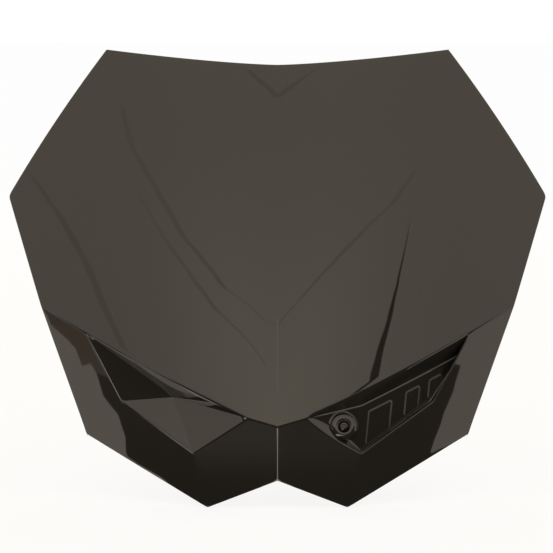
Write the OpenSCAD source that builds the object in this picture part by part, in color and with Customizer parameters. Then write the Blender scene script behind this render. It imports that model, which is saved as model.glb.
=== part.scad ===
// Headlight cowl for a motorbike: one glossy moulding of even wall.
// A wide panel leans back above a nose. Two skirts hang below the panel's lower edge.
// Under each side of that edge is a pocket: a four-faced hollow on the viewer's left,
// and a plated one with a screw boss and three raised pads on the viewer's right.
// +X is the viewer's right, -Y is the front and +Z is up, as fitted to the bike.
// Front view sizes are measured from the nose, which is where the panel's ridge ends.

/* [Panel outline] */
// Widest width, between the two side points
cowl_w = 348; // [320:1:380]
// Height of the side points
side_z = 138.4; // [115:0.2:160]
// Height of the top edge on the centre line
top_z = 223; // [200:1:245]
// Half of the width between the two top corners
corner_x = 111.5; // [90:0.5:130]
// Rise of the top corners above the middle of the top edge
corner_rise = 9.7; // [2:0.1:20]
// How sharply the top edge turns up towards its corners
corner_curve = 1.4; // [1:0.1:2]
// Outward bow of the edge between a top corner and a side point
side_bow = 1.6; // [0:0.1:5]
// Rounding of the side points
side_round = 5; // [2:0.5:8]
// Half width at the knees, where the panel's sides meet the skirts
knee_x = 151; // [145:0.5:160]
// Height of the knees
knee_z = 70; // [64:0.5:80]

/* [Panel form] */
// Lean of the panel from upright, just above the nose, in degrees
nose_lean = 15; // [10:0.5:22]
// Lean of the panel from upright, at the top edge, in degrees
top_lean = 28.5; // [22:0.5:36]
// Sweep back of each half beside the ridge, in degrees
ridge_sweep = 5.7; // [3:0.1:9]
// Sweep back of the panel at the side points, in degrees
side_sweep = 24; // [18:0.5:30]
// Radius of the ridge at the nose
nose_ridge_r = 1.2; // [0.6:0.2:4]
// Radius of the ridge at the top edge
top_ridge_r = 200; // [80:5:300]
// How late the ridge's radius grows on its way to the top edge
ridge_growth = 1.5; // [1:0.1:2]
// Thickness of the wall
wall = 2.6; // [2:0.1:3.4]

/* [Skirt] */
// Half width at the lower outer corners
heel_x = 121.2; // [112:0.2:130]
// Height of the lower outer corners, below the nose
heel_z = -10.5; // [-18:0.5:-4]
// Half of the distance between the two lowest tips
tip_x = 43.7; // [36:0.1:46]
// Height of the tips, below the nose
tip_z = -51.5; // [-60:0.5:-46]
// Height of the notch between the tips, below the nose
notch_z = -33.6; // [-40:0.2:-28]
// Where the skirt's crease meets its bottom edge, out from the centre
foot_x = 47.7; // [47:0.1:51]
// Lean of the skirt from upright, in degrees
skirt_lean = 1.7; // [0:0.1:4]
// Rounding of the tips and of the lower outer corners
low_round = 2.5; // [1:0.5:3.5]

/* [Pocket outline] */
// Inner corner of each pocket, out from the centre
in_x = 18.5; // [14:0.5:24]
// Height of that corner
in_z = 4.9; // [3:0.1:8]
// Outer corner of each pocket on the panel's lower edge, out from the centre
out_x = 121; // [114:0.5:128]
// Hang of the panel's lower edge below a straight line
edge_sag = 1.8; // [0:0.1:4]
// Lower outer corner of each pocket, out from the centre
low_x = 98.3; // [94:0.1:104]
// Height of that corner
low_z = 12.3; // [8:0.1:18]
// Lowest corner of each pocket, out from the centre, where the skirt's crease starts
toe_x = 52.3; // [51.5:0.1:54]
// Height of that corner
toe_z = -17.8; // [-20:0.1:-16]

/* [Hollow pocket] */
// Deepest point, out from the centre
hollow_x = 65.6; // [58:0.1:74]
// Deepest point, height
hollow_z = 15.4; // [13:0.1:20]
// Deepest point, back from the nose
hollow_y = 25; // [22:0.5:32]

/* [Plated pocket] */
// Depth of the plate behind the skirt at the pocket's lowest corner
plate_toe_d = 7; // [5:0.5:10]
// Depth of the plate behind the panel at the pocket's outer corner
plate_out_d = 11; // [8:0.5:14]
// Depth of the plate behind the panel at the pocket's inner corner
plate_in_d = 1.2; // [0.8:0.1:2]
// Run of the plate's inner corner from the pocket's inner corner
plate_in_run = 1.5; // [1:0.1:2.5]
// Height of the ceiling over the plate, above the pocket's lowest corner
ceiling_in = 9.4; // [7:0.1:11]
// Height of the ceiling over the plate, at the pocket's outer corner
ceiling_out = 11.7; // [9:0.1:14]
// Fall of the pocket's lower wall towards the back, in degrees
wall_fall = 6; // [2:0.5:10]
// Width of the wall at the pocket's outer end
end_wall = 3; // [2:0.5:5]
// Bulge of the foot of the pocket's inner wall
inner_run = 2.6; // [1:0.1:3.5]
// Height of the raised pads
pad_h = 1; // [0.6:0.1:1.3]
// Lower left corner of the widest pad, out from the centre
pad_start = 54.5; // [54:0.5:56]
// Width of the widest pad along its lower edge
pad_a_w = 16.2; // [14:0.1:17]
// Width of the middle pad along its lower edge
pad_b_w = 10.1; // [8:0.1:11]
// Width of the outer pad along its lower edge
pad_c_w = 3.9; // [3:0.1:4.5]
// Gap between the widest and the middle pad
pad_ab_gap = 8.3; // [7:0.1:9]
// Gap between the middle and the outer pad
pad_bc_gap = 5.2; // [4:0.1:6]
// Gap between the pads and the foot of the ceiling
pad_top_gap = 5.2; // [4:0.1:6.5]
// Gap between the pads and the lower edge of the plate
pad_low_gap = 2; // [1.5:0.1:3]
// Lean of the pads' sides, in degrees
pad_lean = 6; // [3:0.5:8]
// Lean of the outer side of the outer pad, in degrees
pad_end_lean = 27.5; // [20:0.5:30]
// Width of the bevel around each pad
pad_bevel = 0.9; // [0.4:0.1:1]

/* [Screw boss] */
// Centre of the boss, out from the centre line
boss_x = 41.5; // [40:0.5:43]
// Height of the boss centre
boss_z = -0.6; // [-1:0.1:1]
// Outer diameter of the boss
boss_d = 16.5; // [15:0.5:18]
// Centre of the front face of the boss, back from the nose
boss_y = 8.2; // [7.6:0.1:9]
// Tilt of the boss, the screw and the insert, front end up, in degrees
boss_tilt = 14; // [8:0.5:16]
// Rounding of the boss edge
boss_round = 3; // [1:0.5:3.5]
// Diameter of the sleeve behind the plate that holds the insert
sleeve_d = 10; // [8.5:0.5:12]
// Length of the boss from its front face to the end of the sleeve
boss_len = 18; // [16:0.5:24]

/* [Screw and insert] */
// Thread diameter of the screw
screw_d = 4; // [3:0.5:5]
// Length of the screw under its head
screw_len = 20; // [16:1:25]
// Diameter of the button head
head_d = 7.6; // [6.5:0.1:9]
// Height of the button head
head_h = 2.2; // [1.6:0.1:2.6]
// Width across flats of the hexagon socket
socket_af = 2.5; // [2:0.5:3]
// Depth of the hexagon socket
socket_deep = 1.3; // [0.8:0.1:1.6]
// Clearance around the head in its counterbore
head_clear = 0.5; // [0.2:0.1:0.8]
// Depth of the head below the face of the boss
head_sunk = 0.3; // [0:0.1:0.6]
// Clearance around the screw in the boss
screw_clear = 0.25; // [0.1:0.05:0.4]
// Outer diameter of the insert
insert_d = 5.6; // [5.2:0.1:7]
// Length of the insert
insert_len = 6; // [4:0.5:8]

/* [Fixings on the back] */
// Distance between the two upper pillars
pillar_gap = 90; // [60:1:120]
// Height of the pillars above the nose
pillar_z = 150; // [130:1:170]
// Rear face of the pillars, back from the nose
pillar_y = 92; // [86:1:100]
// Diameter of each pillar
pillar_d = 11; // [9:0.5:13]
// Diameter of the blind screw hole in each pillar
pilot_d = 4.2; // [3.5:0.1:5]
// Depth of that hole
pilot_deep = 16; // [10:1:18]
// Taper of the pillars' rear ends
pillar_edge = 1; // [0.4:0.2:2]
// Distance between the two lower pegs
peg_gap = 56; // [50:1:64]
// Height of the pegs, below the nose
peg_z = -25; // [-28:1:-23]
// Diameter of each peg
peg_d = 8; // [6:0.5:9]
// Length of each peg behind the skirt
peg_len = 24; // [22:1:32]
// Diameter of each peg's root
peg_root_d = 10; // [9.4:0.2:11]
// Length of each peg behind the shoulder of its root
peg_free = 17; // [12:1:18]
// How far a peg's gussets stop short of that shoulder
peg_short = 1; // [0.5:0.5:3]
// Length of the taper at the end of each peg
peg_taper = 2; // [1:0.5:3]
// Thickness of the gussets
rib_t = 2; // [1.5:0.1:2.6]
// Reach of a pillar's gussets upwards and to each side
web_up = 20; // [12:1:24]
// Reach of a pillar's gussets downwards
web_down = 28; // [16:1:32]
// How far a pillar's gussets stop short of its rear face
web_short = 6; // [4:0.5:10]
// Reach of a peg's gussets
peg_web = 9; // [6:0.5:10]

/* [Hidden] */
$fn = 48;

side_x = cowl_w / 2;
lean_gain = (tan(top_lean) - tan(nose_lean)) / (2 * top_z);
sweep_gain = (tan(side_sweep) - tan(ridge_sweep)) / (2 * side_x);
skirt_slope = tan(skirt_lean);
// How many times each edge is divided
n_ni = 3;
n_ip = 12;
n_pd = 4;
n_pq = 4;
n_qb = 7;
n_bi = 5;
n_rise = 6;
n_round = 2;
n_top = 9;
n_side = n_rise + n_round + n_top;
n_skirt = 5;
rib_steps = 6;
tiny = 0.01;
thread_gap = 0.05;
// Where the facets of the plate meet, as a share of the way from its lowest to its outer corner
fan_at = 0.4;
// Middles of the insert's grooves, as shares of its length
groove_at = [0.3, 0.7];

// General functions
function mix(a, b, t) = a + (b - a) * t;
function total(v, i = 0) = i == len(v) - 1 ? v[i] : v[i] + total(v, i + 1);
function unit(v) = v / norm(v);
function flip(v) = [for (i = [len(v) - 1 : -1 : 0]) v[i]];
function rest(v) = [for (i = [1 : len(v) - 1]) v[i]];
function spread(a, b, n) = [for (i = [0 : n]) mix(a, b, i / n)];
// Normal of three points, turned to the front
function face_n(a, b, c) = let (n = unit(cross(b - a, c - a))) n[1] > 0 ? -n : n;
// Step through the wall from a point where faces with the normals ns meet
function inward(ns) = let (s = total(ns)) -wall * len(ns) * s / (s * s);

// Panel surface: depth behind the nose at x, z
function ridge_r(z) = mix(nose_ridge_r, top_ridge_r, pow(max(0, z) / top_z, ridge_growth));
function panel_y(x, z) = let (r = ridge_r(z))
    tan(nose_lean) * z + lean_gain * z * z
    + tan(ridge_sweep) * (sqrt(x * x + r * r) - r) + sweep_gain * x * x;
function panel_n(x, z) = unit([
    (panel_y(x + tiny, z) - panel_y(x - tiny, z)) / (2 * tiny),
    -1,
    (panel_y(x, z + tiny) - panel_y(x, z - tiny)) / (2 * tiny)]);
function on_panel(p) = [p[0], panel_y(p[0], p[1]), p[1]];

// Lower edge of the panel in the front view
function edge_z(x) = x <= in_x ? in_z * x / in_x
    : let (t = (x - in_x) / (knee_x - in_x)) mix(in_z, knee_z, t) - 4 * edge_sag * t * (1 - t);

// Skirt surface: the flat inner part hangs from the panel's edge beside the nose
in_base = panel_y(in_x, in_z) - skirt_slope * in_z;
function inner_base(x) = x <= in_x ? panel_y(x, edge_z(x)) - skirt_slope * edge_z(x)
    : in_base * x / in_x;
function inner_y(x, z) = inner_base(abs(x)) + skirt_slope * z;

// The outer part turns away at the crease and closes on the panel beyond the pocket
foot_z = mix(tip_z, heel_z, (foot_x - tip_x) / (heel_x - tip_x));
crease_run = (toe_x - foot_x) / (toe_z - foot_z);
function turn(x, z) = x - toe_x - (z - toe_z) * crease_run;
out_z = edge_z(out_x);
out_turn = turn(out_x, out_z);
knee_turn = turn(knee_x, knee_z);
out_rate = (panel_y(out_x, out_z) - inner_y(out_x, out_z)) / out_turn;
knee_rate = (panel_y(knee_x, knee_z) - inner_y(knee_x, knee_z)) / knee_turn;
turn_gain = (knee_rate - out_rate) / (knee_turn - out_turn);
turn_start = out_rate - turn_gain * out_turn;
function turned_y(x, z) = let (d = turn(x, z)) inner_y(x, z) + turn_start * d + turn_gain * d * d;
function closing(x) = x <= out_x ? 0
    : let (e = min(x, knee_x)) panel_y(e, edge_z(e)) - turned_y(e, edge_z(e));
function outer_y(x, z) = turned_y(x, z) + closing(x);
function inner_n(x, z) = unit([
    (inner_y(x + tiny, z) - inner_y(x - tiny, z)) / (2 * tiny), -1, skirt_slope]);
function outer_n(x, z) = unit([
    (outer_y(x + tiny, z) - outer_y(x - tiny, z)) / (2 * tiny),
    -1,
    (outer_y(x, z + tiny) - outer_y(x, z - tiny)) / (2 * tiny)]);
function on_inner(p) = [p[0], inner_y(p[0], p[1]), p[1]];
function on_outer(p) = [p[0], outer_y(p[0], p[1]), p[1]];

// Outline points of the right half in the front view
knee = [knee_x, knee_z];
side = [side_x, side_z];
corner = [corner_x, top_z + corner_rise];
heel = [heel_x, heel_z];
tip = [tip_x, tip_z];
foot = [foot_x, foot_z];
toe = [toe_x, toe_z];
low = [low_x, low_z];
mid_foot = mix(foot, heel, (low_x - toe_x) / (out_x - toe_x));
bow_out = unit([corner[1] - side[1], side[0] - corner[0]]);
function bowed(t) = mix(side, corner, t) + side_bow * 4 * t * (1 - t) * bow_out;

// Arc of radius r that rounds the corner b of the line a, b, c
function arc_at(a, b, c, r) = let (
    d = unit(a - b),
    e = unit(c - b),
    half_turn = acos(d * e) / 2,
    centre = b + unit(d + e) * r / sin(half_turn),
    from = b + d * r / tan(half_turn) - centre,
    to = b + e * r / tan(half_turn) - centre,
    sweep = 180 - 2 * half_turn)
    [for (t = spread(0, 1, n_round))
        centre + (sin(sweep * (1 - t)) * from + sin(sweep * t) * to) / sin(sweep)];
side_arc = arc_at(knee, side, bowed(0.5), side_round);
tip_arc = arc_at([0, notch_z], tip, foot, low_round);
heel_arc = arc_at(mid_foot, heel, knee, low_round);

// Edges of the right half, as points on the surfaces
edge_ni = [for (x = spread(0, in_x, n_ni)) on_panel([x, edge_z(x)])];
edge_ip = [for (x = spread(in_x, out_x, n_ip)) on_panel([x, edge_z(x)])];
edge_pd = [for (x = spread(out_x, knee_x, n_pd)) on_panel([x, edge_z(x)])];
edge_pq = [for (p = spread([out_x, out_z], low, n_pq)) on_outer(p)];
edge_qb = [for (p = spread(low, toe, n_qb)) on_outer(p)];
edge_bi = [for (p = spread(toe, [in_x, in_z], n_bi)) on_inner(p)];
edge_side = concat(
    spread(knee, side_arc[0], n_rise),
    rest(side_arc),
    [for (i = [1 : n_top]) bowed(i / n_top)]);

// Depth plane of the plate, through three points behind the pocket's corners
plate_p = on_panel([out_x, out_z]) + [0, plate_out_d, 0];
plate_i = on_panel([in_x, in_z]) + [0, plate_in_d, 0];
plate_b = on_inner(toe) + [0, plate_toe_d, 0];
plate_n = face_n(plate_i, plate_b, plate_p);
function plate_y(x, z) = plate_i[1]
    - (plate_n[0] * (x - plate_i[0]) + plate_n[2] * (z - plate_i[2])) / plate_n[1];
function on_plate(p) = [p[0], plate_y(p[0], p[1]), p[1]];

seat_deep = head_h + head_sunk;
dome_r = (head_d * head_d / 4 + head_h * head_h) / (2 * head_h);

// Foot of the pocket's walls, one point for each point of the edge above it
hollow = [hollow_x, hollow_y, hollow_z];
fall = tan(wall_fall);
function band(x) = x < toe_x ? ceiling_in * (x - in_x) / (toe_x - in_x)
    : mix(ceiling_in, ceiling_out, (x - toe_x) / (out_x - toe_x));
function plate_top(x) = [x, edge_z(x) - band(x)];
plate_start = plate_top(in_x + plate_in_run);
plate_end = plate_top(out_x - end_wall);
plate_low = [low_x - end_wall / 3, low_z - fall * (plate_y(low_x, low_z) - outer_y(low_x, low_z))];
plate_toe = [toe_x, toe_z - fall * plate_toe_d];
inner_dir = unit(plate_start - plate_toe);
inner_out = inner_run * [inner_dir[1], -inner_dir[0]];
function feet(kind, part) = kind == "hollow" ? [for (p = part) hollow]
    : part == edge_ip ? [for (x = spread(plate_start[0], plate_end[0], n_ip)) on_plate(plate_top(x))]
    : part == edge_pq ? [for (p = spread(plate_end, plate_low, n_pq)) on_plate(p)]
    : part == edge_qb ? [for (p = spread(plate_low, plate_toe, n_qb)) on_plate(p)]
    : [for (t = spread(0, 1, n_bi)) on_plate(mix(plate_toe, plate_start, t) + 4 * t * (1 - t) * inner_out)];

// Normal of a pocket wall beside point i of its edge, towards the pocket's inside
function wall_n(part, feet, i) = let (a = max(0, i - 1), b = min(len(part) - 1, i + 1))
    unit(cross(part[b] - feet[i], part[a] - feet[i]));

// Every point comes as a pair, its place on the front and its place on the back
function pair(p, ns) = [p, p + inward(ns)];
function panel_pair(p) = let (q = on_panel(p)) pair(q, [panel_n(p[0], p[1])]);
function inner_pair(p) = let (q = on_inner(p)) pair(q, [inner_n(p[0], p[1])]);
function outer_pair(p) = let (q = on_outer(p)) pair(q, [outer_n(p[0], p[1])]);
function xz(p) = [p[0], p[2]];

// Blend of four edges, given as pairs, into rows of pairs
function blend(kind, bottom, top, left, right) = let (
    nu = len(bottom) - 1,
    nv = len(left) - 1,
    c00 = xz(bottom[0][0]), c10 = xz(bottom[nu][0]), c01 = xz(top[0][0]), c11 = xz(top[nu][0]))
    [for (j = [0 : nv]) [for (i = [0 : nu])
        j == 0 ? bottom[i] : j == nv ? top[i] : i == 0 ? left[j] : i == nu ? right[j]
        : let (u = i / nu, v = j / nv,
            p = mix(xz(bottom[i][0]), xz(top[i][0]), v) + mix(xz(left[j][0]), xz(right[j][0]), u)
                - mix(mix(c00, c10, u), mix(c01, c11, u), v))
            kind == "panel" ? panel_pair(p) : kind == "inner" ? inner_pair(p) : outer_pair(p)]];

// Triangles, each three pairs, of a grid of rows, of a strip and of a fan
function quad(a, b, c, d) = norm(c[0] - d[0]) < tiny ? [[a, b, c]] : [[a, b, c], [a, c, d]];
function grid_tris(g) = [for (j = [0 : len(g) - 2]) for (i = [0 : len(g[0]) - 2])
    for (t = quad(g[j][i], g[j][i + 1], g[j + 1][i + 1], g[j + 1][i])) t];
function strip_tris(edge, feet) = [for (i = [0 : len(edge) - 2])
    for (t = quad(edge[i], edge[i + 1], feet[i + 1], feet[i])) t];
function fan_tris(ring, mid) = [for (i = [0 : len(ring) - 1])
    [ring[i], ring[(i + 1) % len(ring)], mid]];

// One half of the shell, with the given kind of pocket, as triangles of pairs
function half(kind) = let (
    f_ip = feet(kind, edge_ip),
    f_pq = feet(kind, edge_pq),
    f_qb = feet(kind, edge_qb),
    f_bi = feet(kind, edge_bi),
    w_ip = [for (i = [0 : n_ip]) wall_n(edge_ip, f_ip, i)],
    w_pq = [for (i = [0 : n_pq]) wall_n(edge_pq, f_pq, i)],
    w_qb = [for (i = [0 : n_qb]) wall_n(edge_qb, f_qb, i)],
    w_bi = [for (i = [0 : n_bi]) wall_n(edge_bi, f_bi, i)],
    at_i = pair(edge_ip[0], [panel_n(in_x, in_z), inner_n(in_x, in_z), w_ip[0]]),
    at_p = pair(edge_pq[0], [panel_n(out_x, out_z), outer_n(out_x, out_z), w_ip[n_ip], w_pq[0]]),
    at_q = pair(edge_qb[0], [outer_n(low_x, low_z), w_pq[n_pq], w_qb[0]]),
    at_b = pair(edge_bi[0], [outer_n(toe_x, toe_z), inner_n(toe_x, toe_z), w_qb[n_qb], w_bi[0]]),
    p_ni = [for (i = [0 : n_ni]) let (p = edge_ni[i])
        i == n_ni ? at_i : pair(p, [panel_n(p[0], p[2]), inner_n(p[0], p[2])])],
    p_ip = [for (i = [0 : n_ip]) let (p = edge_ip[i])
        i == 0 ? at_i : i == n_ip ? at_p : pair(p, [panel_n(p[0], p[2]), w_ip[i]])],
    p_pd = [for (i = [0 : n_pd]) let (p = edge_pd[i])
        i == 0 ? at_p : pair(p, [panel_n(p[0], p[2]), outer_n(p[0], p[2])])],
    p_pq = [for (i = [0 : n_pq]) let (p = edge_pq[i])
        i == 0 ? at_p : i == n_pq ? at_q : pair(p, [outer_n(p[0], p[2]), w_pq[i]])],
    p_qb = [for (i = [0 : n_qb]) let (p = edge_qb[i])
        i == 0 ? at_q : i == n_qb ? at_b : pair(p, [outer_n(p[0], p[2]), w_qb[i]])],
    p_bi = [for (i = [0 : n_bi]) let (p = edge_bi[i])
        i == 0 ? at_b : i == n_bi ? at_i : pair(p, [inner_n(p[0], p[2]), w_bi[i]])],
    panel_low = concat(p_ni, rest(p_ip), rest(p_pd)),
    at_d = p_pd[n_pd],
    panel_top = [for (q = panel_low) let (x = corner_x * q[0][0] / knee_x)
        panel_pair([x, top_z + corner_rise * pow(x / corner_x, corner_curve)])],
    panel_mid = [for (z = spread(0, top_z, n_side)) panel_pair([0, z])],
    panel_side = [for (i = [0 : n_side]) i == 0 ? at_d : panel_pair(edge_side[i])],
    panel = blend("panel", panel_low, panel_top, panel_mid, panel_side),
    at_foot = pair(on_inner(foot), [inner_n(foot_x, foot_z), outer_n(foot_x, foot_z)]),
    inner_low = concat(
        [for (p = spread([0, notch_z], tip_arc[0], n_ni + n_bi - n_round - 1)) inner_pair(p)],
        [for (p = rest(tip_arc)) inner_pair(p)],
        [at_foot]),
    inner_top = concat(p_ni, rest(flip(p_bi))),
    inner_mid = [for (i = [0 : n_skirt]) i == n_skirt ? p_ni[0]
        : inner_pair([0, mix(notch_z, 0, i / n_skirt)])],
    crease = [for (i = [0 : n_skirt]) let (p = mix(foot, toe, i / n_skirt))
        i == 0 ? at_foot : i == n_skirt ? at_b
        : pair(on_inner(p), [inner_n(p[0], p[1]), outer_n(p[0], p[1])])],
    inner = blend("inner", inner_low, inner_top, inner_mid, crease),
    near_low = [for (i = [0 : n_qb]) i == 0 ? at_foot : outer_pair(mix(foot, mid_foot, i / n_qb))],
    split = [for (i = [0 : n_skirt]) i == n_skirt ? at_q : outer_pair(mix(mid_foot, low, i / n_skirt))],
    near = blend("outer", near_low, flip(p_qb), crease, split),
    far_low = [for (p = concat(spread(mid_foot, heel_arc[0], n_pq + n_pd - n_round), rest(heel_arc)))
        outer_pair(p)],
    far_side = [for (i = [0 : n_skirt]) i == n_skirt ? at_d
        : outer_pair(mix(heel_arc[n_round], knee, i / n_skirt))],
    far = blend("outer", far_low, concat(flip(p_pq), rest(p_pd)), split, far_side),
    pocket = kind == "hollow"
        ? let (deep = pair(hollow, [for (w = [w_ip, w_pq, w_qb, w_bi]) w[floor(len(w) / 2)]]))
            fan_tris(concat(p_ip, rest(p_pq), rest(p_qb), [for (i = [1 : n_bi - 1]) p_bi[i]]), deep)
        : let (
            g_i = pair(f_ip[0], [plate_n, w_ip[0], w_bi[n_bi]]),
            g_p = pair(f_pq[0], [plate_n, w_ip[n_ip], w_pq[0]]),
            g_q = pair(f_qb[0], [plate_n, w_pq[n_pq], w_qb[0]]),
            g_b = pair(f_bi[0], [plate_n, w_qb[n_qb], w_bi[0]]),
            g_ip = [for (i = [0 : n_ip]) i == 0 ? g_i : i == n_ip ? g_p : pair(f_ip[i], [plate_n, w_ip[i]])],
            g_pq = [for (i = [0 : n_pq]) i == 0 ? g_p : i == n_pq ? g_q : pair(f_pq[i], [plate_n, w_pq[i]])],
            g_qb = [for (i = [0 : n_qb]) i == 0 ? g_q : i == n_qb ? g_b : pair(f_qb[i], [plate_n, w_qb[i]])],
            g_bi = [for (i = [0 : n_bi]) i == 0 ? g_b : i == n_bi ? g_i : pair(f_bi[i], [plate_n, w_bi[i]])],
            middle = pair(on_plate(mix(plate_toe, plate_end, fan_at)), [plate_n]))
            concat(
                strip_tris(p_ip, g_ip), strip_tris(p_pq, g_pq), strip_tris(p_qb, g_qb),
                strip_tris(p_bi, g_bi),
                fan_tris(concat(g_ip, rest(g_pq), rest(g_qb), [for (i = [1 : n_bi - 1]) g_bi[i]]), middle)),
    outline = concat(panel_top, rest(flip(panel_side)), rest(flip(far_side)), rest(flip(far_low)),
        rest(flip(near_low)), rest(flip(inner_low))))
    [concat(grid_tris(panel), grid_tris(inner), grid_tris(near), grid_tris(far)), pocket, outline];

// Triangles of pairs as solid faces: front, back and the rim between them
function mirror_pair(p) = [[-p[0][0], p[0][1], p[0][2]], [-p[1][0], p[1][1], p[1][2]]];
function flat_tris(tris) = [for (t = tris) for (p = [
    [t[0][0], t[1][0], t[2][0]], [t[0][1], t[2][1], t[1][1]]]) p];
function rim_tris(loop) = [for (i = [0 : len(loop) - 2]) let (a = loop[i], b = loop[i + 1])
    for (p = [[a[0], b[0], b[1]], [a[0], b[1], a[1]]]) p];

module shell_skin() {
    plated = half("plated");
    hollowed = half("hollow");
    right = concat(flat_tris(plated[0]), flat_tris([for (t = plated[1]) flip(t)]), rim_tris(plated[2]));
    left = concat(
        flat_tris([for (t = hollowed[0]) [for (p = flip(t)) mirror_pair(p)]]),
        flat_tris([for (t = hollowed[1]) [for (p = t) mirror_pair(p)]]),
        [for (t = rim_tris(hollowed[2])) flip([for (p = t) [-p[0], p[1], p[2]]])]);
    tris = concat(right, left);
    polyhedron([for (t = tris) for (p = t) p],
        [for (i = [0 : len(tris) - 1]) [3 * i, 3 * i + 2, 3 * i + 1]]);
}

// Puts children whose axis is +Z onto an axis that runs back from x, y, z
module facing_back(x, y, z) {
    translate([x, y, z]) rotate([-90, 0, 0]) children();
}

// Puts children onto the tilted axis of the boss, deep behind its front face
module on_boss_axis(deep = 0) {
    translate([boss_x, boss_y, boss_z]) rotate([-90 - boss_tilt, 0, 0]) translate([0, 0, deep]) children();
}

// Keeps what a plane through p with the front normal n has behind it, or in front of it
module kept(side, p, n, size) {
    difference() {
        children();
        translate(p) rotate([-asin(n[2]), 0, atan2(n[0], -n[1])])
            translate([-size / 2, side == "behind" ? -size : 0, -size / 2]) cube(size);
    }
}

// Collar with a rounded edge, standing on the plate
module boss_collar() {
    r = boss_d / 2;
    root = on_plate([boss_x, boss_z]) + [0, wall / 2, 0];
    kept("in front", root, plate_n, 4 * boss_d) on_boss_axis() rotate_extrude() union() {
        square([r - boss_round, boss_d]);
        translate([0, boss_round]) square([r, boss_d]);
        translate([r - boss_round, boss_round]) circle(boss_round);
    }
}

// Corners of one pad in the front view, from its lower edge's two ends
function low_line(x) = mix(plate_toe[1], plate_low[1], (x - plate_toe[0]) / (plate_low[0] - plate_toe[0]))
    + pad_low_gap;
// Upper end of a pad's side that starts at x and runs sideways as it rises, found in n steps
function raised(x, run, n = 6) = let (
    z = n == 0 ? low_line(x) : raised(x, run, n - 1)[1],
    top = x + run * (z - low_line(x)))
    plate_top(top) - [0, pad_top_gap];
function pad_shape(x0, x1, run0, run1) = [
    [x0, low_line(x0)], [x1, low_line(x1)], raised(x1, run1), raised(x0, run0)];
// The shape drawn in by d on every side
function inset(s, d) = [for (i = [0 : 3]) let (
    e = unit(s[i] - s[(i + 3) % 4]),
    f = unit(s[(i + 1) % 4] - s[i]))
    s[i] + d * (f - e) / (e[0] * f[1] - e[1] * f[0])];

module pad(shape) {
    base = [for (p = inset(shape, -pad_bevel)) on_plate(p) + [0, pad_h, 0]];
    face = [for (p = inset(shape, pad_bevel)) on_plate(p) - [0, pad_h, 0]];
    polyhedron(concat(base, face),
        [[0, 1, 2, 3], [7, 6, 5, 4], [0, 4, 5, 1], [1, 5, 6, 2], [2, 6, 7, 3], [3, 7, 4, 0]]);
}

module pads() {
    lean = tan(pad_lean);
    b = pad_start + pad_a_w + pad_ab_gap;
    c = b + pad_b_w + pad_bc_gap;
    pad(pad_shape(pad_start, pad_start + pad_a_w, lean, lean));
    pad(pad_shape(b, b + pad_b_w, lean, lean));
    pad(pad_shape(c, c + pad_c_w, lean, tan(pad_end_lean)));
}

// End of a post of radius r, as radii and distances from its rear face
function tapered(r, taper) = [[r, taper], [r - taper / 2, 0]];

// Round post behind the wall at x, z, with its side's profile measured from its end at y_end
module post(x, z, d, y_end, profile, front) {
    n = front == "panel" ? panel_n(abs(x), z) : inner_n(abs(x), z);
    y = front == "panel" ? panel_y(x, z) : inner_y(x, z);
    p = [x, y + wall / 2, z];
    h = y_end - y + d;
    kept("behind", p, [sign(x) * n[0], n[1], n[2]], 4 * d)
        facing_back(x, y - d, z) rotate_extrude()
            polygon(concat([[0, 0], [d / 2, 0]], [for (q = profile) [q[0], h - q[1]]], [[0, h]]));
}

// Upright and level gussets that brace a post at x, z against the wall and end inside it
module gussets(x, z, d, up, down, y_end, front) {
    r = d / 3;
    function wall_y(px, pz) = (front == "panel" ? panel_y(px, pz) : inner_y(px, pz)) + wall / 2;
    translate([x + rib_t / 2, 0, 0]) rotate([0, -90, 0]) linear_extrude(rib_t) polygon(concat(
        [for (k = [0 : rib_steps]) let (pz = mix(z - down, z + up, k / rib_steps)) [pz, wall_y(x, pz)]],
        [[z + r, y_end], [z - r, y_end]]));
    translate([0, 0, z - rib_t / 2]) linear_extrude(rib_t) polygon(concat(
        [for (k = [0 : rib_steps]) let (px = mix(x - up, x + up, k / rib_steps))
            [px, wall_y(px, z)]],
        [[x + r, y_end], [x - r, y_end]]));
}

module pillar(x) {
    difference() {
        union() {
            post(x, pillar_z, pillar_d, pillar_y, tapered(pillar_d / 2, pillar_edge), "panel");
            gussets(x, pillar_z, pillar_d, web_up, web_down, pillar_y - web_short, "panel");
        }
        facing_back(x, pillar_y - pilot_deep, pillar_z) cylinder(d = pilot_d, h = pilot_deep + 1);
    }
}

module peg(x) {
    end = inner_y(x, peg_z) + wall + peg_len;
    shoulder = [[peg_root_d / 2, peg_free], [peg_d / 2, peg_free]];
    post(x, peg_z, peg_root_d, end, concat(shoulder, tapered(peg_d / 2, peg_taper)), "inner");
    gussets(x, peg_z, peg_root_d, peg_web, peg_web, end - peg_free - peg_short, "inner");
}

module cowl_shell() {
    color("#1c1a17") in_frame() difference() {
        union() {
            shell_skin();
            boss_collar();
            on_boss_axis(boss_round) cylinder(d = sleeve_d, h = boss_len - boss_round);
            pads();
            for (s = [-1, 1]) {
                pillar(s * pillar_gap / 2);
                peg(s * peg_gap / 2);
            }
        }
        on_boss_axis() {
            translate([0, 0, -boss_d]) cylinder(r = head_d / 2 + head_clear, h = boss_d + seat_deep);
            cylinder(r = screw_d / 2 + screw_clear, h = boss_len + 1);
            translate([0, 0, boss_len - insert_len]) cylinder(d = insert_d, h = insert_len + 1);
        }
    }
}

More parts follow.
